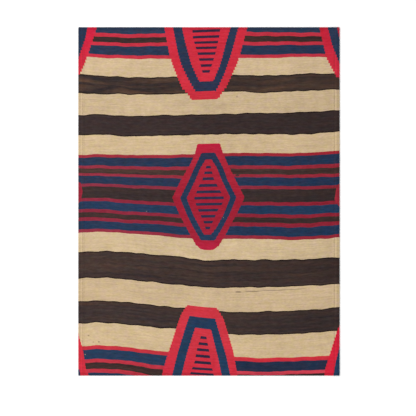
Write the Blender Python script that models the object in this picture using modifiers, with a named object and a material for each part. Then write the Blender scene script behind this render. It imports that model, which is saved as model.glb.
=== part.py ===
"""Chief blanket, throw size: one flat wool cloth with a sewn hem down each long side.

X runs across the width, Y along the length and Z up. The cloth lies face up on z = 0,
centred on the origin. Its underside is flat. Its face stands higher over the hems, where
the cloth is double, and dips along each line of sewing.
"""

import math

import bmesh
import bpy

# The finished cloth, in metres
WIDTH = 0.762
LENGTH = 1.016
CLOTH_THICKNESS = 0.0024

# The hems, each one turn of the long edge to the back
LEFT_HEM_WIDTH = 0.012
RIGHT_HEM_WIDTH = 0.015
HEM_THICKNESS = 0.0040
HEM_LAP_START = 0.0022
HEM_LAP_END = 0.0068

# The line of sewing pulls the hem down
SEAM_DEPTH = 0.0009
SEAM_HALF_WIDTH = 0.0011
PUCKER_HEIGHT = 0.00022
PUCKER_LENGTH = 0.046

# The edge of the cloth is round
EDGE_RADIUS = 0.0008
EDGE_SEGMENTS = 2
EDGE_ANGLE = math.radians(70)

# The woven face rises and falls a little
UNEVEN_HEIGHT = 0.00016
UNEVEN_LENGTH_X = 0.31
UNEVEN_LENGTH_Y = 0.23

# Columns of the face: places in from a long edge, as shares of the hem, then from the seam
HEM_SHARES = (0.0, 0.12, 0.35, 0.6)
SEAM_OFFSETS = (-0.0024, -0.0012, 0.0, 0.0012, 0.0026, 0.0045, 0.0068)
FIELD_COLUMNS = 12
ROWS = 66

COLLECTION_NAME = "chief_blanket"
CLOTH_NAME = "blanket"
WOOL_COLOUR = (0.62, 0.49, 0.29, 1.0)
WOOL_ROUGHNESS = 0.92
WOOL_SHEEN = 0.25


def clear_scene():
    for old in list(bpy.data.objects):
        bpy.data.objects.remove(old, do_unlink=True)


def ease(value, start, end):
    """Runs smoothly from 0 at start to 1 at end."""
    share = min(max((value - start) / (end - start), 0.0), 1.0)
    return share * share * (3.0 - 2.0 * share)


def hem_rise(inset, hem_width, y):
    """Height that a hem adds to the cloth, at a distance in from its long edge."""
    past_seam = inset - hem_width
    double = (HEM_THICKNESS - CLOTH_THICKNESS) * (1.0 - ease(past_seam, HEM_LAP_START, HEM_LAP_END))
    groove = SEAM_DEPTH * math.exp(-((past_seam / SEAM_HALF_WIDTH) ** 2))
    on_hem = 1.0 - ease(past_seam, 0.0, HEM_LAP_END)
    pucker = PUCKER_HEIGHT * on_hem * math.sin(math.tau * y / PUCKER_LENGTH)
    return double - groove + pucker


def face_height(x, y):
    """Height of the woven face above the surface that the cloth lies on."""
    swell = math.sin(math.tau * x / UNEVEN_LENGTH_X) * math.cos(math.tau * y / UNEVEN_LENGTH_Y)
    left = hem_rise(x + WIDTH / 2, LEFT_HEM_WIDTH, y)
    right = hem_rise(WIDTH / 2 - x, RIGHT_HEM_WIDTH, -y)
    return CLOTH_THICKNESS + UNEVEN_HEIGHT * swell + left + right


def hem_columns(hem_width):
    """Distances in from a long edge, from the fold to just past the sewing."""
    return [share * hem_width for share in HEM_SHARES] + [hem_width + offset for offset in SEAM_OFFSETS]


def face_columns():
    """Every column's place along X, from left to right."""
    left = [inset - WIDTH / 2 for inset in hem_columns(LEFT_HEM_WIDTH)]
    right = [WIDTH / 2 - inset for inset in reversed(hem_columns(RIGHT_HEM_WIDTH))]
    step = (right[0] - left[-1]) / FIELD_COLUMNS
    field = [left[-1] + step * index for index in range(1, FIELD_COLUMNS)]
    return left + field + right


def place_face(face):
    """Moves a square grid's points to the columns and rows of the cloth."""
    columns = face_columns()
    for point in face.verts:
        column = round((point.co.x + 1.0) / 2.0 * (len(columns) - 1))
        x = columns[column]
        y = point.co.y * LENGTH / 2
        point.co = (x, y, face_height(x, y))


def close_underneath(cloth):
    """Pulls the face down to a flat underside."""
    lowered = bmesh.ops.extrude_face_region(cloth, geom=cloth.faces[:])
    for item in lowered["geom"]:
        if isinstance(item, bmesh.types.BMVert):
            item.co.z = 0.0
    bmesh.ops.recalc_face_normals(cloth, faces=cloth.faces[:])


def wool_material():
    material = bpy.data.materials.new("undyed_wool")
    material.use_nodes = True
    shader = material.node_tree.nodes["Principled BSDF"]
    shader.inputs["Base Color"].default_value = WOOL_COLOUR
    shader.inputs["Roughness"].default_value = WOOL_ROUGHNESS
    shader.inputs["Metallic"].default_value = 0.0
    shader.inputs["Sheen Weight"].default_value = WOOL_SHEEN
    return material


def round_edges(blanket):
    bevel = blanket.modifiers.new("round_edge", "BEVEL")
    bevel.width = EDGE_RADIUS
    bevel.segments = EDGE_SEGMENTS
    bevel.limit_method = "ANGLE"
    bevel.angle_limit = EDGE_ANGLE


def build_blanket(collection):
    cloth = bmesh.new()
    bmesh.ops.create_grid(cloth, x_segments=len(face_columns()) - 1, y_segments=ROWS, size=1.0)
    place_face(cloth)
    close_underneath(cloth)
    mesh = bpy.data.meshes.new(CLOTH_NAME)
    cloth.to_mesh(mesh)
    cloth.free()
    mesh.materials.append(wool_material())
    mesh.shade_smooth()
    blanket = bpy.data.objects.new(CLOTH_NAME, mesh)
    collection.objects.link(blanket)
    round_edges(blanket)
    return blanket


def main():
    clear_scene()
    collection = bpy.data.collections.new(COLLECTION_NAME)
    bpy.context.scene.collection.children.link(collection)
    build_blanket(collection)


main()
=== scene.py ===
import math

import bpy
import numpy as np
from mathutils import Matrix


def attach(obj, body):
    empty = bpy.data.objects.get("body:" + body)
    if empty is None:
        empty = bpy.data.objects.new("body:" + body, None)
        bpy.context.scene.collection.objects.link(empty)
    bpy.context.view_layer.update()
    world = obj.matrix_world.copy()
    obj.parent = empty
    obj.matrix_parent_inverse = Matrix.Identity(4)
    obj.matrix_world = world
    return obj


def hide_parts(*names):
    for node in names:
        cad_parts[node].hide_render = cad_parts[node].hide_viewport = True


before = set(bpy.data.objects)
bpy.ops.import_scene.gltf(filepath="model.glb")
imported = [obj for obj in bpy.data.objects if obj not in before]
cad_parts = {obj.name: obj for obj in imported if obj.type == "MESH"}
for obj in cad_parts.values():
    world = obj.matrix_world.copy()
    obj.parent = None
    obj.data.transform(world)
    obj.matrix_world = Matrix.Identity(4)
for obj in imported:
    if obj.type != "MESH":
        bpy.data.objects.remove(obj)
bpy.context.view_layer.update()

# Chief blanket, throw size, lying face up on the floor. Shapes are in metres, X across and Y along.
# The pattern is in millimetres: across from the left long edge, and down from the top short edge.

cloth = {
    "width": 0.762,
    "length": 1.016,
    "thickness": 0.0024,
    "leftHem": 0.012,
    "rightHem": 0.015,
    "hemThickness": 0.0040,
    "lapStart": 0.0022,  # past the seam, where the turned edge starts to thin
    "lapEnd": 0.0068,
    "seamDepth": 0.0009,
    "seamHalfWidth": 0.0011,
    "puckerHeight": 0.00022,
    "puckerLength": 0.046,
    "swellHeight": 0.00016,
    "swellAcross": 0.31,
    "swellAlong": 0.23,
    "rimInset": 0.0014,  # how far in from the outline the round edge starts
    "rimAngles": (60, 30, 0, -30, -60),  # degrees above the middle of the edge
    "rowStep": 0.00395,
    "backGroove": 0.0006,
    "mapMargin": 0.004,  # a share of the bake map
}


def ease(value, start, end):
    # runs smoothly from 0 at start to 1 at end: 3 s squared less 2 s cubed
    share = np.clip((value - start) / (end - start), 0.0, 1.0)
    return share * share * (3.0 - 2.0 * share)


def hemRise(inset, hemWidth, y):
    # the double cloth, less a bell-shaped groove at the seam, plus a sine along the hem for its puckers
    pastSeam = inset - hemWidth
    fold = cloth["hemThickness"] - cloth["thickness"]
    double = fold * (1.0 - ease(pastSeam, cloth["lapStart"], cloth["lapEnd"]))
    groove = cloth["seamDepth"] * np.exp(-((pastSeam / cloth["seamHalfWidth"]) ** 2))
    onHem = 1.0 - ease(pastSeam, 0.0, cloth["lapEnd"])
    pucker = cloth["puckerHeight"] * onHem * np.sin(math.tau * y / cloth["puckerLength"])
    return double - groove + pucker


def faceHeight(x, y):
    # the cloth's thickness, plus a product of two waves for its unevenness, plus both hems
    swell = np.sin(math.tau * x / cloth["swellAcross"]) * np.cos(math.tau * y / cloth["swellAlong"])
    left = hemRise(x + cloth["width"] / 2, cloth["leftHem"], y)
    right = hemRise(cloth["width"] / 2 - x, cloth["rightHem"], -y)
    return cloth["thickness"] + cloth["swellHeight"] * swell + left + right


def backHeight(x):
    # flat, but for a bell-shaped groove over each line of sewing
    fromLeft = x + cloth["width"] / 2 - cloth["leftHem"]
    fromRight = cloth["width"] / 2 - x - cloth["rightHem"]
    bells = sum(np.exp(-((away / cloth["seamHalfWidth"]) ** 2)) for away in (fromLeft, fromRight))
    return cloth["backGroove"] * bells


# The wefts wander: how far below its true place a line lies, mm, at these distances from the left edge
driftAcross = (0, 60, 140, 230, 300, 381, 460, 540, 650, 762)
driftRows = (
    # down, at the edges of the wide bands, then one value for each place across
    (20, -5, -1, 4, 2, 1, -2, -4, -2, -1, 0),
    (85, -6, -1, 2, 2, 2, 1, 0, 1, -3, -1),
    (141, -6, 0, 4, 5, 3, 0, -2, 0, -5, -7),
    (192, 2, 3, 5, 5, 2, -1, -3, 0, -6, -10),
    (253, 3, 2, 5, 4, 3, 1, -2, -4, -5, -11),
    (314, 2, -1, 5, 3, 2, 0, -2, -1, -1, -10),
    (374, 3, 1, 3, 3, 2, -1, -3, -3, -3, -10),
    (434, -5, -4, -1, 2, 3, 1, 0, 0, 1, -2),
    (511, -8, -10, -3, 2, 6, 5, 4, 3, 4, -1),
    (571, -11, -12, -6, -2, 5, 4, 3, 4, 6, -1),
    (606, -12, -14, -10, -3, 4, 5, 6, 7, 10, 3),
    (667, -11, -15, -12, -4, 2, 12, 10, 10, 9, 3),
    (747, -15, -17, -11, -2, 5, 13, 12, 12, 8, 2),
    (815, -16, -18, -14, -4, 3, 12, 14, 13, 10, 2),
    (881, -17, -20, -14, -5, 0, 11, 16, 16, 11, 3),
    (955, -19, -22, -17, -5, 1, 8, 13, 15, 13, 6),
    (1018, -20, -20, -15, 0, 2, 7, 13, 16, 12, 8),
)


def drift(across, down):
    # a smooth curve through the chart across the cloth, and a straight run between its rows
    chart = np.array(driftRows)
    places = np.array(driftAcross, float)
    slopes = np.gradient(chart[:, 1:], places, axis=1)
    cell = np.clip(np.searchsorted(places, across) - 1, 0, len(places) - 2)
    gap = places[cell + 1] - places[cell]
    s = np.clip((across - places[cell]) / gap, 0.0, 1.0)
    curves = (
        chart[:, 1 + cell] * (1 + 2 * s) * (1 - s) ** 2
        + slopes[:, cell] * gap * s * (1 - s) ** 2
        + chart[:, 2 + cell] * s * s * (3 - 2 * s)
        + slopes[:, cell + 1] * gap * s * s * (s - 1)
    )
    row = np.clip(np.searchsorted(chart[:, 0], down) - 1, 0, len(chart) - 2)
    t = np.clip((down - chart[row, 0]) / (chart[row + 1, 0] - chart[row, 0]), 0.0, 1.0)
    point = np.arange(len(across))
    return curves[row, point] * (1 - t) + curves[row + 1, point] * t


# Outlines of the motifs: down, left and right, mm. A corner or side motif runs past the cloth's edge
pastLeft, pastRight = -30, 792
redOutlines = {
    "top": ((-20, 247, 500), (75, 265, 473), (110, 276, 462), (176, 303, 432), (190, 317, 421),
            (211, 330, 408)),
    "middle": ((340, 347, 413), (369, 340, 422), (395, 328, 433), (444, 298, 458), (493, 274, 485),
               (543, 296, 461), (607, 330, 425), (629, 343, 409), (635, 351, 401), (640, 362, 388)),
    "bottom": ((805, 317, 404), (837, 299, 424), (928, 270, 451), (996, 248, 463), (1040, 238, 470)),
    "topLeft": ((-20, pastLeft, 61), (43, pastLeft, 41), (80, pastLeft, 29), (115, pastLeft, 17),
                (139, pastLeft, 6), (147, pastLeft, -3)),
    "topRight": ((-20, 698, pastRight), (93, 724, pastRight), (150, 752, pastRight), (160, 764, pastRight)),
    "bottomLeft": ((911, pastLeft, 0), (963, pastLeft, 14), (1017, pastLeft, 22), (1045, pastLeft, 36)),
    "bottomRight": ((866, 762, pastRight), (881, 755, pastRight), (987, 720, pastRight),
                    (1040, 713, pastRight)),
    "leftTip": ((454, pastLeft, -1), (461, pastLeft, 7), (486, pastLeft, 13), (502, pastLeft, 9),
                (512, pastLeft, 8), (524, pastLeft, -2)),
    "rightTip": ((454, 763, pastRight), (472, 752, pastRight), (503, 747, pastRight), (529, 764, pastRight)),
}
navyOutlines = {
    "top": ((-20, 272, 474), (75, 291, 447), (108, 301, 436), (142, 317, 424), (169, 331, 411),
            (187, 342, 401)),
    "middle": ((367, 359, 398), (410, 338, 422), (444, 322, 435), (493, 297, 461), (544, 318, 440),
               (578, 335, 422), (615, 357, 398)),
    "bottom": ((837, 324, 399), (946, 291, 431), (1040, 267, 451)),
    "topLeft": ((-20, pastLeft, 31), (35, pastLeft, 21), (104, pastLeft, -2)),
    "topRight": ((-20, 722, pastRight), (52, 740, pastRight), (112, 763, pastRight)),
    "bottomLeft": ((1015, pastLeft, -2), (1021, pastLeft, 4), (1045, pastLeft, 8)),
    "bottomRight": ((926, 762, pastRight), (971, 750, pastRight), (1040, 738, pastRight)),
}
innerOutlines = {
    "top": ((-20, 298, 452), (40, 311, 433), (108, 330, 414), (158, 353, 394)),
    "middle": ((386, 371, 388), (410, 356, 404), (444, 341, 418), (493, 316, 443), (544, 336, 423),
               (578, 354, 404), (600, 366, 387)),
    "bottom": ((870, 341, 387), (948, 317, 406), (1040, 294, 426)),
    "topRight": ((-20, 749, pastRight), (34, 762, pastRight)),
}
# The bars end at these outlines
barOutlines = {
    "top": ((0, 332, 415), (30, 334, 411), (76, 348, 400), (134, 363, 382)),
    "middle": ((402, 374, 385), (440, 363, 395), (459, 352, 405), (493, 338, 425), (511, 343, 420),
               (529, 350, 407), (564, 366, 392), (587, 372, 382)),
    "bottom": ((891, 358, 373), (934, 346, 381), (972, 339, 387), (1010, 325, 396)),
}


def insideDistance(across, weft, rows):
    # distance to the nearest side of the outline, more than 0 inside it and less than 0 outside
    corners = [(left, down) for down, left, right in rows]
    corners += [(right, down) for down, left, right in reversed(rows)]
    nearest = np.full(across.shape, np.inf)
    inside = np.zeros(across.shape, bool)
    for (ax, ay), (bx, by) in zip(corners, corners[1:] + corners[:1]):
        sx, sy = bx - ax, by - ay
        along = np.clip(((across - ax) * sx + (weft - ay) * sy) / (sx * sx + sy * sy), 0.0, 1.0)
        nearest = np.minimum(nearest, np.hypot(across - ax - along * sx, weft - ay - along * sy))
        if sy:
            inside ^= ((ay > weft) != (by > weft)) & (across < ax + sx * (weft - ay) / sy)
    return np.where(inside, nearest, -nearest)


def insideAny(across, weft, outlines):
    # the greatest of the distances, so more than 0 inside any of the outlines
    return np.max([insideDistance(across, weft, rows) for rows in outlines.values()], axis=0)


# Pale and dark lines along the edges, painted light and shade: a painted highlight on each hem's ridge,
# painted shade at its fold, at its seam and along both ends. How far in, mm, half how wide, and how much
# paler or darker
paintedEdgeLines = {
    "fold": (5.0, 2.2, -0.16),  # in from a long edge
    "ridge": (-3.0, 2.6, 0.09),  # in from a seam
    "seam": (2.0, 2.5, -0.03),
    "end": (4.6, 2.6, -0.28),  # in from a short edge
}


def bell(away, kind):
    # its height times e to the minus square of how far off its middle a point lies, in half widths
    middle, halfWide, height = paintedEdgeLines[kind]
    return height * np.exp(-(((away - middle) / halfWide) ** 2))


def paintedEdgeLight(x, y):
    # 1 and a bell for each line: painted shade at the fold and seam of each hem and at both ends of the
    #                             cloth, and a painted highlight on each hem's ridge
    paintedLight = 1.0 + bell((cloth["length"] / 2 - np.abs(y)) * 1000.0, "end")
    for side, hem in ((1, "leftHem"), (-1, "rightHem")):
        inset = (cloth["width"] / 2 + side * x) * 1000.0
        pastSeam = inset - cloth[hem] * 1000.0
        paintedLight += bell(inset, "fold") + bell(pastSeam, "ridge") + bell(pastSeam, "seam")
    return paintedLight


# Places of the bars, mm down. The ones next to a gap only keep the spacing even, and no outline holds them
barPlaces = (
    -5, 12.5, 29.5, 45, 60, 76, 93, 111, 128.5, 146,
    391, 408, 423.5, 440, 459, 476.5, 493.5, 511, 529, 547, 564.5, 581, 598,
    878, 897, 916, 934, 953, 972, 991, 1005, 1022,
)

weave = {
    "weftPitch": 1.5,  # mm
    "warpPitch": 2.2,
    "toothPitch": 9.0,  # a slanting edge steps over each time that it has come down so far
    "toothReach": ((220, 340, 660, 800), (1.2, 0.5, 0.5, 0.9)),  # mm down, then how full the steps are
    "waver": (4.2, 6.0),  # how far an edge wavers: thin stripes, then wide bands
    "raggedness": 1.2,  # how far it wavers more finely
    "barShare": 0.22,  # half a bar's depth, as a share of the distance between bars
    "barRaggedness": 0.05,
    "sideShare": 0.1,  # the side motifs lie within this share of the width
    "beadDepth": 0.6,
    "fibreHeight": 0.8,  # against a weft's
    "bumpStrength": 0.8,
    "bumpHeight": 0.00022,  # m
}


def patternFields(x, y, folded):
    # millimetres across and down. On the back of a hem the cloth past the edge shows, turned under
    across = (x + cloth["width"] / 2) * 1000.0
    down = (cloth["length"] / 2 - y) * 1000.0
    wide, left, right = (1000.0 * cloth[key] for key in ("width", "leftHem", "rightHem"))
    across = np.where(folded & (across < left), -across, across)
    across = np.where(folded & (across > wide - right), 2 * wide - across, across)
    weft = down - drift(across, down)
    kinds = (redOutlines, navyOutlines, innerOutlines)
    motif = np.stack([insideAny(across, weft, kind) for kind in kinds], axis=1)
    # how the distance changes 1 mm across and 1 mm down, which say how steep the nearest side is
    slant = np.stack([insideAny(across + 1, weft, kind) for kind in kinds], axis=1) - motif
    slope = np.stack([insideAny(across, weft + 1, kind) for kind in kinds], axis=1) - motif
    reach = np.interp(weft, *weave["toothReach"])
    return {
        "across": across,
        "weft": weft,
        "motif": motif,
        "teeth": slope * np.abs(slant) * reach[:, None],
        "bars": insideAny(across, weft, barOutlines),
        "barCount": np.interp(weft, barPlaces, np.arange(len(barPlaces))),
        # the painted highlight and painted shade along the hems and ends
        "paintedLight": paintedEdgeLight(x, y),
    }


# Columns of the cloth: how far a stretch of them reaches from the left edge, and how far apart they stand, mm
columnStretches = (
    (20.0, 1.5),
    (62.0, 3.5),
    (232.0, 8.5),
    (514.0, 3.3),
    (700.0, 8.5),
    (738.0, 3.5),
    (760.6, 1.5),
)


def clothColumns():
    # equal steps within each stretch, from the inset of the left edge to that of the right one
    places = [cloth["rimInset"] * 1000.0]
    for reach, apart in columnStretches:
        cells = round((reach - places[-1]) / apart)
        places += list(np.linspace(places[-1], reach, cells + 1)[1:])
    return np.array(places) / 1000.0 - cloth["width"] / 2


def blanketMesh():
    # two grids, face and back, joined round the outline by rings on a half ellipse
    columns = clothColumns()
    reach = cloth["length"] / 2 - cloth["rimInset"]
    rows = np.linspace(-reach, reach, round(2 * reach / cloth["rowStep"]) + 1)
    wide, tall = len(columns), len(rows)
    x, y = (part.ravel() for part in np.meshgrid(columns, rows))
    face = np.stack([x, y, faceHeight(x, y)], axis=1)
    back = np.stack([x, y, backHeight(x)], axis=1)
    cell = (np.arange(tall - 1)[:, None] * wide + np.arange(wide - 1)).ravel()
    faceQuads = np.stack([cell, cell + 1, cell + wide + 1, cell + wide], axis=1)
    backQuads = faceQuads[:, ::-1] + wide * tall
    edge = np.concatenate([
        np.arange(wide - 1),
        np.arange(tall - 1) * wide + wide - 1,
        (tall - 1) * wide + np.arange(wide - 1, 0, -1),
        np.arange(tall - 1, 0, -1) * wide,
    ])
    outward = np.zeros((len(edge), 2))
    outward[:, 0] = (x[edge] == columns[-1]) * 1.0 - (x[edge] == columns[0])
    outward[:, 1] = (y[edge] == rows[-1]) * 1.0 - (y[edge] == rows[0])
    outward /= np.maximum(np.abs(outward).sum(axis=1, keepdims=True) ** 0.5, 1.0)
    loops, points = [edge], [face, back]
    for angle in cloth["rimAngles"]:
        turn = math.radians(angle)
        middle = (face[edge, 2] + back[edge, 2]) / 2
        half = (face[edge, 2] - back[edge, 2]) / 2
        flat = face[edge, :2] + outward * cloth["rimInset"] * math.cos(turn)
        loops.append(sum(len(part) for part in points) + np.arange(len(edge)))
        points.append(np.column_stack([flat, middle + half * math.sin(turn)]))
    loops.append(edge + wide * tall)
    rim = [
        np.stack([upper, lower, np.roll(lower, -1), np.roll(upper, -1)], axis=1)
        for upper, lower in zip(loops, loops[1:])
    ]
    return np.vstack(points), np.vstack([faceQuads, backQuads] + rim), wide * tall


def makeObject(name, points, quads):
    mesh = bpy.data.meshes.new(name)
    mesh.from_pydata(points.tolist(), [], quads.tolist())
    mesh.update()
    mesh.shade_smooth()
    made = bpy.data.objects.new(name, mesh)
    bpy.context.scene.collection.objects.link(made)
    return made


def layOutMaps(mesh, isBack, margin):
    # its own bake map: the face fills the left half of the square and the back the right half
    corners = np.empty(len(mesh.loops), int)
    mesh.loops.foreach_get("vertex_index", corners)
    points = np.empty(len(mesh.vertices) * 3)
    mesh.vertices.foreach_get("co", points)
    points = points.reshape(-1, 3)[corners]
    u = (points[:, 0] / cloth["width"] + 0.5) * (0.5 - 2 * margin) + margin
    v = (points[:, 1] / cloth["length"] + 0.5) * (1 - 2 * margin) + margin
    u = np.where(isBack, 1.0 - u, u)
    mesh.uv_layers.new(name="OFBake").data.foreach_set("uv", np.column_stack([u, v]).ravel())


def makeBlanket():
    points, quads, faceCount = blanketMesh()
    made = makeObject("woven_blanket", points, quads)
    mesh = made.data
    order = np.arange(len(points))
    onBack = (order >= faceCount) & (order < 2 * faceCount)
    for name, values in patternFields(points[:, 0], points[:, 1], onBack).items():
        kind, field = ("FLOAT", "value") if values.ndim == 1 else ("FLOAT_VECTOR", "vector")
        mesh.attributes.new(name, kind, "POINT").data.foreach_set(field, values.ravel())
    normals = np.empty(len(mesh.polygons) * 3)
    mesh.polygons.foreach_get("normal", normals)
    isBack = np.repeat(normals.reshape(-1, 3)[:, 2] < 0, 4)
    layOutMaps(mesh, isBack, cloth["mapMargin"])
    print("blanket:", len(points), "points,", 2 * len(quads), "triangles")
    return made


def addNode(tree, kind, inputs=(), **settings):
    # one node. Each input pairs a socket's name or number with a value or with another node's output
    made = tree.nodes.new(kind)
    for name, value in settings.items():
        setattr(made, name, value)
    for socket, value in inputs:
        if isinstance(value, bpy.types.NodeSocket):
            tree.links.new(value, made.inputs[socket])
        else:
            made.inputs[socket].default_value = value
    return made


def calc(tree, operation, *values):
    return addNode(tree, "ShaderNodeMath", list(enumerate(values)), operation=operation).outputs[0]


def vectorCalc(tree, operation, *values):
    return addNode(tree, "ShaderNodeVectorMath", list(enumerate(values)), operation=operation)


def blendColour(tree, share, below, above, kind="MIX"):
    made = addNode(
        tree, "ShaderNodeMix", ((0, share), (6, below), (7, above)), data_type="RGBA", blend_type=kind
    )
    return made.outputs[2]


def linear(colour):
    # sRGB 0 to 255 as linear light, lowered by what the studio's light adds
    shares = [part / 255 for part in colour]
    raised = [part / 12.92 if part < 0.04045 else ((part + 0.055) / 1.055) ** 2.4 for part in shares]
    return tuple(part / studio["lightOnCloth"] for part in raised) + (1.0,)


def addRamp(tree, value, stops):
    # stops pairs a place from 0 to 1 with a colour, and the colours between them are blends
    made = addNode(tree, "ShaderNodeValToRGB", ((0, value),))
    elements = made.color_ramp.elements
    elements.remove(elements[1])
    elements[0].position, elements[0].color = stops[0]
    for place, colour in stops[1:]:
        elements.new(place).color = colour
    return made.outputs[0]


def addNoise(tree, place, scale, detail, roughness, distortion=0.0):
    # noise around 0, stretched by a different scale each way
    stretched = vectorCalc(tree, "MULTIPLY", place, scale).outputs[0]
    made = addNode(tree, "ShaderNodeTexNoise", (
        ("Vector", stretched), ("Scale", 1.0), ("Detail", detail),
        ("Roughness", roughness), ("Distortion", distortion),
    ))
    return calc(tree, "SUBTRACT", made.outputs[0], 0.5)


def readField(tree, name, output="Fac"):
    return addNode(tree, "ShaderNodeAttribute", attribute_name=name).outputs[output]


def newMaterial(name, finish):
    # the finish holds what is the same all over, for the shader's own sockets
    made = bpy.data.materials.new(name)
    made.use_nodes = True
    shader = made.node_tree.nodes["Principled BSDF"]
    for socket, value in finish.items():
        shader.inputs[socket].default_value = value
    return made, made.node_tree, shader


# Each stripe's wool and where it ends, mm down. A line of the darkest fleece edges each wide brown band
stripes = (
    ("navyFirst", 16.5), ("redTop", 27.5), ("brownThin", 43.5), ("redTop", 53.5), ("navyTop", 80),
    ("redTop", 89.5),
    ("creamFirst", 141), ("darkEdge", 144), ("brownFirst", 188.5), ("darkEdge", 191.5),
    ("creamSecond", 253), ("darkEdge", 256), ("brownSecond", 310.5), ("darkEdge", 313.5),
    ("creamThird", 369.5), ("redOuter", 378.5), ("navyMiddle", 404.5), ("redMiddle", 414),
    ("brownUpper", 429), ("redMiddle", 437.5), ("navyMiddle", 461.5), ("redInner", 470.5),
    ("brownMiddle", 506.5), ("redLower", 516.5), ("navyInner", 541), ("redLower", 551),
    ("brownThin", 566), ("redLower", 576.5), ("navyLower", 601), ("redMiddle", 610.5),
    ("creamFourth", 667.5), ("darkEdge", 670.5), ("brownThird", 730), ("brownThirdRim", 744),
    ("darkEdge", 747),
    ("creamFifth", 815), ("darkEdge", 818), ("brownFourthRim", 828), ("brownFourth", 878), ("darkEdge", 881),
    ("creamSixth", 949), ("redBottom", 960.5), ("navyBottom", 989), ("redLast", 999),
    ("brownThin", 1016.5), ("redLast", 1027.5), ("navyBottom", 1050),
)

# Dyed and undyed wools, as sRGB 0 to 255 at the middle of the cloth
wools = {
    "creamFirst": (210, 184, 147),
    "creamSecond": (204, 179, 143),
    "creamThird": (208, 182, 144),
    "creamFourth": (211, 186, 148),
    "creamFifth": (207, 181, 144),
    "creamSixth": (211, 185, 146),
    "brownFirst": (67, 52, 46),
    "brownSecond": (57, 45, 44),
    "brownThird": (64, 50, 46),
    "brownThirdRim": (62, 49, 47),
    "brownFourth": (61, 49, 47),
    "brownFourthRim": (67, 52, 47),
    "brownMiddle": (57, 45, 44),
    "brownUpper": (69, 50, 46),
    "brownThin": (61, 45, 43),
    "darkEdge": (32, 22, 19),
    "navyFirst": (46, 59, 83),
    "navyTop": (41, 54, 79),
    "navyMiddle": (39, 53, 79),
    "navyInner": (36, 58, 87),
    "navyLower": (36, 55, 83),
    "navyBottom": (39, 60, 88),
    "redTop": (195, 50, 67),
    "redOuter": (159, 41, 55),
    "redMiddle": (150, 44, 60),
    "redInner": (139, 44, 61),
    "redLower": (141, 38, 56),
    "redBottom": (197, 51, 63),
    "redLast": (190, 52, 67),
    "barTop": (55, 38, 62),
    "barMiddle": (47, 46, 72),
    "barBottom": (51, 41, 64),
}
# Right of the bottom motif these stripes go on in another batch of their wool
rightBatch = {
    "redBottom": (206, 48, 62),
    "navyBottom": (37, 48, 72),
    "redLast": (214, 66, 83),
}
# How strongly pale and dark fleece runs in a brown wool, in wisps, then in long streaks
carding = {
    "brownFirst": (1.25, 0.2),
    "brownSecond": (0.0, 0.15),
    "brownThird": (0.15, 0.45),
    "brownThirdRim": (0.15, 0.35),
    "brownFourth": (0.15, 0.4),
    "brownFourthRim": (0.15, 0.35),
    "brownMiddle": (0.1, 0.35),
    "brownUpper": (0.15, 0.35),
    "brownThin": (0.15, 0.35),
}
# How a dye or a fleece runs warmer or cooler in patches: red, green and blue
patchiness = {
    "navy": (1.6, -0.15, -0.35),
    "brown": (0.35, -0.25, -0.3),
    "cream": (0.08, 0.12, 0.3),
}
# Towards the right the colours are painted deeper as painted shade, dark ones most: red, green and blue at
# the right edge, against the left edge. The first row whose name a wool's name starts with counts
paintedSideShade = {
    "cream": (1.0, 1.0, 1.0),
    "brownFirst": (1.0, 0.98, 0.9),
    "brownThirdRim": (0.9, 0.9, 0.92),
    "brownThird": (0.68, 0.67, 0.7),
    "brownFourthRim": (0.88, 0.9, 0.9),
    "brownThin": (0.9, 0.9, 0.85),
    "brown": (0.8, 0.8, 0.8),
    "dark": (1.0, 1.0, 1.0),
    "navyFirst": (0.98, 0.95, 0.94),
    "navyInner": (0.75, 0.95, 0.98),
    "navyMotif": (1.0, 1.08, 1.08),
    "navy": (0.75, 0.88, 0.98),
    "redTop": (0.88, 0.95, 0.93),
    "red": (1.02, 0.65, 0.66),
}


def batchAndSideShade(tree, wool, colour, aside):
    # from the left edge to the right one a colour runs from its lighter form to its deeper one as painted
    # shade, or, for a wool with a second batch, it changes at the middle, under a motif
    if wool in rightBatch:
        isRight = calc(tree, "GREATER_THAN", aside, 0.5)
        return blendColour(tree, isRight, colour, linear(rightBatch[wool]))
    change = next(change for kind, change in paintedSideShade.items() if wool.startswith(kind))
    lighter, deeper = (tuple(part**power for part in change) + (1.0,) for power in (-0.5, 0.5))
    # painted shade: the colour is multiplied from its lighter form at the left to its deeper one at the right
    return blendColour(tree, 1.0, colour, blendColour(tree, aside, lighter, deeper), "MULTIPLY")


def addChange(tree, colour, amount, strengths):
    # the colour times 1 and the amount, which has its own strength in red, green and blue
    change = vectorCalc(tree, "MULTIPLY_ADD", amount, strengths, (1.0, 1.0, 1.0))
    return blendColour(tree, 1.0, colour, change.outputs[0], "MULTIPLY")


def dyeAndSideShade(tree, wool, colour, aside, patches):
    # a wool's colour: painted shade makes it deeper to the right, and its dye runs warmer or cooler in
    # patches
    dyed = batchAndSideShade(tree, wool, colour, aside)
    for kind, strengths in patchiness.items():
        if wool.startswith(kind):
            dyed = addChange(tree, dyed, patches, strengths)
    return dyed


def layStripes(tree, line, roughLine, aside, patches):
    # from its own first weft down, each stripe covers the one before it. The edges of the wide brown bands
    # are the roughest. Also says how strongly each stripe is carded
    dyed = {wool: dyeAndSideShade(tree, wool, linear(wools[wool]), aside, patches) for wool in dict(stripes)}
    before, start = stripes[0][0], 0.0
    colour, carded = dyed[before], (0.0, 0.0, 0.0)
    for wool, end in stripes:
        past = calc(tree, "GREATER_THAN", roughLine if "darkEdge" in (wool, before) else line, start)
        colour = blendColour(tree, past, colour, dyed[wool])
        strengths, strengthsBefore = (carding.get(name, (0.0, 0.0)) for name in (wool, before))
        change = tuple(np.subtract(strengths, strengthsBefore)) + (0.0,)
        if any(change):
            carded = vectorCalc(tree, "MULTIPLY_ADD", past, change, carded).outputs[0]
        before, start = wool, end
    return colour, addNode(tree, "ShaderNodeSeparateXYZ", ((0, carded),)).outputs


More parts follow.
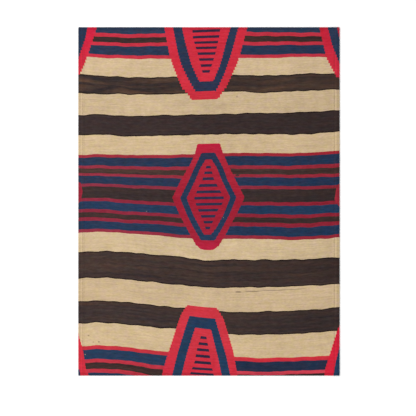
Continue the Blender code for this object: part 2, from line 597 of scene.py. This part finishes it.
# The motifs' red and navy change from one batch of yarn to the next: down the cloth, mm, then red and navy
motifWools = (
    (0, (210, 45, 64), (42, 57, 83)),
    (200, (203, 47, 62), (41, 50, 74)),
    (345, (191, 31, 61), (42, 52, 78)),
    (385, (175, 39, 57), (42, 53, 79)),
    (500, (160, 31, 51), (38, 56, 83)),
    (600, (160, 34, 53), (39, 58, 86)),
    (640, (192, 32, 65), (40, 62, 91)),
    (800, (206, 54, 66), (38, 57, 86)),
    (900, (209, 54, 68), (36, 60, 88)),
    (1016, (211, 46, 65), (37, 63, 93)),
)

# The reds of the motifs on the left edge and on the right edge: down, mm, then left and right
sideReds = (
    (30, (211, 36, 65), (198, 36, 58)),
    (130, (204, 45, 62), (212, 46, 66)),
    (490, (150, 38, 57), (157, 41, 57)),
    (870, (213, 49, 66), (217, 36, 61)),
)
barWools = ((200, "barTop"), (350, "barMiddle"), (660, "barMiddle"), (810, "barBottom"))


def layMotifs(tree, colour, weft, aside, ragged, patches):
    # over the stripes: red, a navy ring, a red middle, then navy bars
    tall = cloth["length"] * 1000.0
    share = calc(tree, "DIVIDE", weft, tall)

    def downTheCloth(stops):
        return addRamp(tree, share, [(down / tall, linear(wool)) for down, wool in stops])

    red = downTheCloth([(down, red) for down, red, navy in motifWools])
    isLeft = calc(tree, "LESS_THAN", aside, weave["sideShare"])
    isRight = calc(tree, "GREATER_THAN", aside, 1.0 - weave["sideShare"])
    red = blendColour(tree, isLeft, red, downTheCloth([(down, left) for down, left, right in sideReds]))
    red = blendColour(tree, isRight, red, downTheCloth([(down, right) for down, left, right in sideReds]))
    navy = downTheCloth([(down, navy) for down, red, navy in motifWools])
    navy = dyeAndSideShade(tree, "navyMotif", navy, aside, patches)
    fields = addNode(tree, "ShaderNodeSeparateXYZ", ((0, readField(tree, "motif", "Vector")),)).outputs
    teeth = addNode(tree, "ShaderNodeSeparateXYZ", ((0, readField(tree, "teeth", "Vector")),)).outputs

    # a slanting side keeps its place for a few wefts and then steps over: the field as it is at their middle
    part = calc(tree, "FRACT", calc(tree, "DIVIDE", weft, weave["toothPitch"]))
    toMiddle = calc(tree, "MULTIPLY", calc(tree, "SUBTRACT", 0.5, part), weave["toothPitch"])
    for field, tooth, wool in zip(fields, teeth, (red, navy, red)):
        stepped = calc(tree, "MULTIPLY_ADD", toMiddle, tooth, calc(tree, "ADD", field, ragged))
        colour = blendColour(tree, calc(tree, "GREATER_THAN", stepped, 0.0), colour, wool)

    # a bar lies where the count of bars is nearly whole, within its outline
    count = calc(tree, "MULTIPLY_ADD", ragged, weave["barRaggedness"], readField(tree, "barCount"))
    past = calc(tree, "FRACT", calc(tree, "ADD", count, 0.5))
    fromBar = calc(tree, "ABSOLUTE", calc(tree, "SUBTRACT", past, 0.5))
    isNear = calc(tree, "LESS_THAN", fromBar, weave["barShare"])
    isBar = calc(tree, "MULTIPLY", isNear, calc(tree, "GREATER_THAN", readField(tree, "bars"), 0.0))
    return blendColour(tree, isBar, colour, downTheCloth([(down, wools[wool]) for down, wool in barWools]))


# Small faults and soil, then broad faint grey patches, the one under the middle motif painted shade: across,
# down, half its width, half its height, mm, then how strong, and its wool
marks = (
    (464, 432, 7, 3.2, 0.9, "brownThin"),
    (30, 899, 3.2, 2.0, 0.5, "brownThin"),
    (43.5, 918, 2.0, 2.0, 0.5, "brownThin"),
    (60, 917.5, 3.4, 2.0, 0.55, "brownThin"),
    (20, 954, 1.6, 1.6, 0.7, "creamSixth"),
    (199, 537, 1.8, 1.5, 0.35, "creamFourth"),
    (204.5, 537, 1.8, 1.5, 0.7, "darkEdge"),
    (423, 555, 1.8, 1.6, 0.35, "creamFourth"),
    (462.5, 202, 3.5, 3.0, 0.3, "brownThin"),
    (467, 772, 10, 1.7, 0.75, "brownThin"),
    (508, 770, 26, 1.6, 0.6, "brownThin"),
    (563, 767, 46, 1.5, 0.5, "brownThin"),
    (618, 765, 36, 1.4, 0.4, "brownThin"),
    (650, 762.5, 18, 1.2, 0.3, "brownThin"),
    (385, 759, 62, 1.3, 0.15, "brownThin"),
    # broad faint grey patches: under the top motif, under the middle motif as painted shade, and along the
    # left edge
    (392, 226, 42, 24, 0.05, "brownThin"),
    (384, 642, 60, 38, 0.06, "brownThin"),
    (42, 712, 86, 125, 0.075, "brownThin"),
)


def addMarks(tree, colour, spot):
    # each mark is a soft ellipse: full strength at its middle, nothing at its rim
    for across, down, halfWide, halfTall, strength, wool in marks:
        middle = (across / 1000 - cloth["width"] / 2, cloth["length"] / 2 - down / 1000, 0.0)
        away = vectorCalc(tree, "SUBTRACT", spot, middle).outputs[0]
        rounded = vectorCalc(tree, "MULTIPLY", away, (1000 / halfWide, 1000 / halfTall, 0.0)).outputs[0]
        far = vectorCalc(tree, "LENGTH", rounded).outputs["Value"]
        near = calc(tree, "MAXIMUM", calc(tree, "SUBTRACT", 1.0, calc(tree, "MULTIPLY", far, far)), 0.0)
        dab = calc(tree, "MINIMUM", calc(tree, "MULTIPLY", near, 2.0 * strength), strength)
        colour = blendColour(tree, dab, colour, linear(wools[wool]))
    return colour


def weaveHeight(tree, across, line, fibres):
    # each weft is a row of long beads, half a round across, and every second row is shifted by one warp
    rows = calc(tree, "DIVIDE", line, weave["weftPitch"])
    odd = calc(tree, "MODULO", calc(tree, "FLOOR", rows), 2.0)
    hump = calc(tree, "SINE", calc(tree, "MULTIPLY", calc(tree, "FRACT", rows), math.pi))
    phase = calc(tree, "MULTIPLY_ADD", across, 0.5 / weave["warpPitch"], calc(tree, "MULTIPLY", odd, 0.5))
    bead = calc(tree, "ABSOLUTE", calc(tree, "SINE", calc(tree, "MULTIPLY", phase, math.pi)))
    beaded = calc(tree, "MULTIPLY_ADD", bead, weave["beadDepth"], 1.0 - weave["beadDepth"])
    return calc(tree, "MULTIPLY_ADD", fibres, weave["fibreHeight"], calc(tree, "MULTIPLY", hump, beaded))


woolFinish = {"Roughness": 0.93, "Specular IOR Level": 0.06, "Sheen Weight": 0.04, "Sheen Roughness": 0.5}
# How often a noise changes each way, in 1 m of the cloth, then its octaves and its roughness
clothNoises = {
    "waver": ((32.0, 14.0, 1.0), 0.0, 0.5),
    "ragged": ((190.0, 70.0, 1.0), 1.0, 0.5),
    "hue": ((60.0, 90.0, 9.0), 2.0, 0.5),
    "fibres": ((900.0, 1500.0, 900.0), 2.0, 0.6),
}
# The same in 1 mm across and down the wefts. The wisps are also swirled
weftNoises = {
    "patches": ((0.03, 0.1, 1.0), 2.0, 0.5),
    "wisps": ((0.007, 0.06, 1.0), 3.0, 0.45, 0.7),
    "carding": ((0.0035, 0.11, 1.0), 3.0, 0.6),
    "uptake": ((0.05, 0.2, 1.0), 2.0, 0.6),
    "streaks": ((0.008, 0.3, 1.0), 2.0, 0.55),
    "grain": ((0.12, 0.3, 1.0), 1.0, 0.55),
    "warpBands": ((0.05, 0.028, 1.0), 1.0, 0.55),
    "clouds": ((0.006, 0.01, 1.0), 2.0, 0.55),
}
yarn = {
    "tones": (("streaks", 0.42), ("grain", 0.32), ("warpBands", 0.18), ("clouds", 0.3)),  # how strong
    "greenHue": 0.12,  # how the hue noise changes green and blue
    "blueHue": -0.4,
    "uptake": 0.3,
    "fleeceChange": (3.6, 2.75, 1.3),  # what pale fleece does to red, green and blue
    "darkestWisp": -0.07,
    "wispsAtLeft": 1.25,  # how strong the wisps are at the left edge
    "wispsAcross": -0.8,  # how that changes from edge to edge
}


def woolMaterial():
    made, tree, shader = newMaterial("woven_wool", woolFinish)
    spot = addNode(tree, "ShaderNodeTexCoord").outputs["Object"]
    across = readField(tree, "across")
    weft = readField(tree, "weft")

    # the edges of the stripes waver, and more finely where single wefts turn
    waver = addNoise(tree, spot, *clothNoises["waver"])
    ragged = calc(tree, "MULTIPLY", addNoise(tree, spot, *clothNoises["ragged"]), weave["raggedness"])
    fineLine = calc(tree, "ADD", weft, ragged)
    line, roughLine = (calc(tree, "MULTIPLY_ADD", waver, reach, fineLine) for reach in weave["waver"])
    aside = calc(tree, "DIVIDE", across, cloth["width"] * 1000.0)
    alongWeft = addNode(tree, "ShaderNodeCombineXYZ", ((0, across), (1, line))).outputs[0]
    patches = addNoise(tree, alongWeft, *weftNoises["patches"])
    colour, carded = layStripes(tree, line, roughLine, aside, patches)

    # the brown fleece is unevenly carded, so pale and dark wisps and streaks run in it along the wefts. The
    # wisps get weaker to the right, and the dark ones are shallow
    weaker = calc(tree, "MULTIPLY_ADD", aside, yarn["wispsAcross"], yarn["wispsAtLeft"])
    wisps = calc(tree, "MAXIMUM", addNoise(tree, alongWeft, *weftNoises["wisps"]), yarn["darkestWisp"])
    wisps = calc(tree, "MULTIPLY", wisps, calc(tree, "MULTIPLY", carded[0], weaker))
    streaks = addNoise(tree, alongWeft, *weftNoises["carding"])
    fleece = calc(tree, "MULTIPLY_ADD", streaks, carded[1], wisps)
    colour = addChange(tree, colour, fleece, yarn["fleeceChange"])

    colour = layMotifs(tree, colour, weft, aside, ragged, patches)
    colour = addMarks(tree, colour, spot)

    # the yarn is spun unevenly, so all the wool is streaked, grainy and cloudy, and its hue changes a little
    # the tone starts from the painted highlight and painted shade along the hems and ends
    tone = readField(tree, "paintedLight")
    for kind, strength in yarn["tones"]:
        tone = calc(tree, "MULTIPLY_ADD", addNoise(tree, alongWeft, *weftNoises[kind]), strength, tone)
    hue = addNoise(tree, spot, *clothNoises["hue"])
    green = calc(tree, "MULTIPLY_ADD", hue, yarn["greenHue"], tone)
    blue = calc(tree, "MULTIPLY_ADD", hue, yarn["blueHue"], tone)
    tint = addNode(tree, "ShaderNodeCombineXYZ", ((0, tone), (1, green), (2, blue))).outputs[0]
    colour = blendColour(tree, 1.0, colour, tint, "MULTIPLY")

    # a dye takes unevenly too, which shows most in deep colours: the colour to a power near 1
    uptake = addNoise(tree, alongWeft, *weftNoises["uptake"])
    power = calc(tree, "MULTIPLY_ADD", uptake, yarn["uptake"], 1.0)
    colour = addNode(tree, "ShaderNodeGamma", ((0, colour), (1, power))).outputs[0]

    height = weaveHeight(tree, across, line, addNoise(tree, spot, *clothNoises["fibres"]))
    bump = addNode(tree, "ShaderNodeBump", (
        ("Strength", weave["bumpStrength"]), ("Distance", weave["bumpHeight"]), ("Height", height),
    ))
    tree.links.new(colour, shader.inputs["Base Color"])
    tree.links.new(bump.outputs[0], shader.inputs["Normal"])
    print("wool:", len(tree.nodes), "nodes")
    return made


thread = {
    "pitch": 0.0040,
    "stitchLength": 0.0030,
    "radius": 0.00028,
    "sides": 6,
    "rings": 5,
    "endGap": 0.006,  # from a short edge to the first stitch
    "lift": 0.9,  # how high a stitch stands at its middle, in radii
    "dive": 1.5,  # how much lower its ends lie
    "blunt": 0.02,  # keeps its ends open a little
    "colour": (96, 74, 58),
    # painted shade: the hollows of the twist are painted darker
    "hollowShade": 0.55,  # the hollows of its twist are darker
    "twist": ((2500.0, 900.0, 2500.0), 1.0, 0.5),
    "bumpStrength": 0.5,
    "bumpHeight": 0.0001,
    "finish": {"Roughness": 0.8, "Specular IOR Level": 0.2},
}


def makeStitches():
    # a stitch is a short round thread that dives at both ends. One is repeated along each seam, face and back
    along = np.linspace(-1.0, 1.0, thread["rings"])
    turn = np.arange(thread["sides"]) * math.tau / thread["sides"]
    radius = thread["radius"] * np.sqrt(np.clip(1.0 + thread["blunt"] - along**4, thread["blunt"], 1.0))
    ringY = along * thread["stitchLength"] / 2
    ringZ = thread["radius"] * (thread["lift"] - thread["dive"] * along**2)
    stitch = np.stack([
        radius[:, None] * np.cos(turn),
        np.repeat(ringY[:, None], thread["sides"], axis=1),
        ringZ[:, None] + radius[:, None] * np.sin(turn),
    ], axis=2).reshape(-1, 3)
    sides, rings = thread["sides"], thread["rings"]
    corner = (np.arange(rings - 1)[:, None] * sides + np.arange(sides)).ravel()
    after = (np.arange(rings - 1)[:, None] * sides + (np.arange(sides) + 1) % sides).ravel()
    tube = np.stack([corner, corner + sides, after + sides, after], axis=1)
    ends = [list(range(sides)), list(range((rings - 1) * sides, rings * sides))[::-1]]
    count = int((cloth["length"] - 2 * thread["endGap"]) / thread["pitch"])
    places = (np.arange(count) - (count - 1) / 2) * thread["pitch"]
    points, faces = [], []
    for seamX in (cloth["leftHem"] - cloth["width"] / 2, cloth["width"] / 2 - cloth["rightHem"]):
        for isBack in (False, True):
            base = sum(len(part) for part in points)
            y = places + (thread["pitch"] / 2 if isBack else 0.0)
            x = np.full(count, seamX)
            z = backHeight(x) if isBack else faceHeight(x, y)
            flip = -1.0 if isBack else 1.0
            whole = stitch[None] * (flip, 1.0, flip) + np.stack([x, y, z], axis=1)[:, None]
            points.append(whole.reshape(-1, 3))
            starts = base + np.arange(count) * len(stitch)
            faces += (tube[None] + starts[:, None, None]).reshape(-1, 4).tolist()
            faces += [[start + corner for corner in end] for start in starts.tolist() for end in ends]
    made = makeObject("seam_thread", np.vstack(points), np.array(faces, dtype=object))
    print("stitches:", 4 * count)
    return made


def threadMaterial():
    made, tree, shader = newMaterial("seam_cotton", thread["finish"])
    place = addNode(tree, "ShaderNodeTexCoord").outputs["Object"]
    base = linear(thread["colour"])
    # painted shade: the hollows of the twist are painted darker
    darker = tuple(thread["hollowShade"] * part for part in base[:3]) + (1.0,)
    twist = addNoise(tree, place, *thread["twist"])
    colour = blendColour(tree, calc(tree, "ADD", twist, 0.5), darker, base)
    bump = addNode(tree, "ShaderNodeBump", (
        ("Strength", thread["bumpStrength"]), ("Distance", thread["bumpHeight"]), ("Height", twist),
    ))
    tree.links.new(colour, shader.inputs["Base Color"])
    tree.links.new(bump.outputs[0], shader.inputs["Normal"])
    return made


studio = {
    "lightOnCloth": 1.22,  # the studio light brightens a colour this many times
    "cameraX": -0.0028,
    "cameraY": -0.0192,
    "cameraHeight": 3.5,
    "viewWidth": 1.213,
    "floorWidth": 9.0,
    "floorFinish": {"Base Color": (0.97, 0.97, 0.97, 1.0), "Roughness": 1.0, "Specular IOR Level": 0.0},
    "skyStrength": 0.81,
    "lampPower": 34.0,
    "lampSize": 1.8,
    "lampPlace": (-1.3, 0.25, 2.1),
}


def makeFloor():
    half = studio["floorWidth"] / 2
    points = np.array([(-half, -half, 0.0), (half, -half, 0.0), (half, half, 0.0), (-half, half, 0.0)])
    made = makeObject("studio_floor", points, np.array([(0, 1, 2, 3)]))
    made.data.materials.append(newMaterial("pale_floor", studio["floorFinish"])[0])
    return made


def makeStudio():
    scene = bpy.context.scene
    scene.view_settings.view_transform = "Standard"
    sky = bpy.data.worlds.new("studio_sky")
    sky.use_nodes = True
    sky.node_tree.nodes["Background"].inputs["Color"].default_value = (1.0, 1.0, 1.0, 1.0)
    sky.node_tree.nodes["Background"].inputs["Strength"].default_value = studio["skyStrength"]
    scene.world = sky
    lamp = bpy.data.lights.new("soft_lamp", "AREA")
    lamp.size = studio["lampSize"]
    lamp.energy = studio["lampPower"]
    stand = bpy.data.objects.new("soft_lamp", lamp)
    stand.location = studio["lampPlace"]
    towards = -np.array(studio["lampPlace"])
    stand.rotation_euler = (
        math.atan2(math.hypot(towards[0], towards[1]), -towards[2]), 0.0, math.atan2(-towards[0], towards[1])
    )
    scene.collection.objects.link(stand)
    lens = bpy.data.cameras.new("photo_camera")
    lens.type = "ORTHO"
    lens.ortho_scale = studio["viewWidth"]
    camera = bpy.data.objects.new("photo_camera", lens)
    camera.location = (studio["cameraX"], studio["cameraY"], studio["cameraHeight"])
    scene.collection.objects.link(camera)
    scene.camera = camera
    print("studio: sky, lamp and camera")


makeStudio()
floor = makeFloor()

blanket = makeBlanket()
blanket.data.materials.append(woolMaterial())
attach(blanket, "root")
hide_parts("blanket")

stitches = makeStitches()
stitches.data.materials.append(threadMaterial())
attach(stitches, "root")
